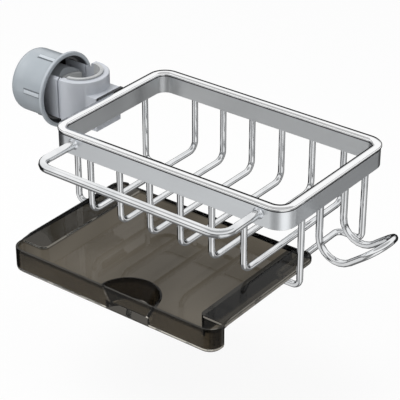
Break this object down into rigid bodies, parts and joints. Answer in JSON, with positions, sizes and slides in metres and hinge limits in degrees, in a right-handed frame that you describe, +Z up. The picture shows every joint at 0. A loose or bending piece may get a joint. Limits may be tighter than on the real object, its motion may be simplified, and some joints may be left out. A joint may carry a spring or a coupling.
{
  "type": "clamp-on sink organizer",
  "caption": "Wire sink basket in a metal rim with a towel bar, a side hook and a pull-out smoky drip tray, held on a tap pipe by a screw clamp.",
  "frame": {"origin": "on the axis of the tap pipe that the clamp grips, level with the top face of the rim", "axes": "+Z up along the pipe, +X from the pipe along the rim's long side, +Y from the front, where the tray pulls out, to the back"},
  "size_m": [0.3246, 0.1861, 0.1],
  "materials": {
    "satin_band": "satin, with a polished top edge",
    "polished_wire": "polished",
    "polished_bar": "polished",
    "smoked_tray": "see-through smoky grey-brown, glossy",
    "jaw_plastic": "moulded, half matt",
    "knob_plastic": "moulded, half matt",
    "soft_liner": "soft, matt",
    "dark_plate": "dark, satin",
    "screw_metal": "plain"
  },
  "bodies": {
    "rack": {"clamp_body": "jaw_plastic", "bore_liner": "soft_liner", "bracket_plate": "dark_plate", "bracket_screw_front": "screw_metal", "bracket_screw_back": "screw_metal", "rim_band": "satin_band", "cross_wire_1": "polished_wire", "cross_wire_2": "polished_wire", "cross_wire_3": "polished_wire", "cross_wire_4": "polished_wire", "cross_wire_5": "polished_wire", "cross_wire_6": "polished_wire", "rail_wire_left": "polished_wire", "rail_wire_right": "polished_wire", "towel_bar": "polished_bar", "side_hook": "polished_wire"},
    "pad": {"pressure_pad": "jaw_plastic", "pad_facing": "soft_liner", "pad_screw": "screw_metal"},
    "knob": {"clamp_knob": "knob_plastic"},
    "tray": {"drip_tray": "smoked_tray"}
  },
  "joints": [
    {"name": "pad_feed", "type": "slide", "parent": "rack", "child": "pad", "axis": [1, 0, 0], "range_m": [-0.0071, 0.0091]},
    {"name": "knob_turn", "type": "hinge", "parent": "pad", "child": "knob", "pos_m": [-0.0141, 0, -0.01], "axis": [1, 0, 0], "range_deg": [-840, 1080]},
    {"name": "tray_slide", "type": "slide", "parent": "rack", "child": "tray", "axis": [0, -1, 0], "range_m": [-0.0684, 0.019]}
  ],
  "couplings": [
    {"joint": "pad_feed", "follows": "knob_turn", "m_per_rad": 0.00047746}
  ]
}
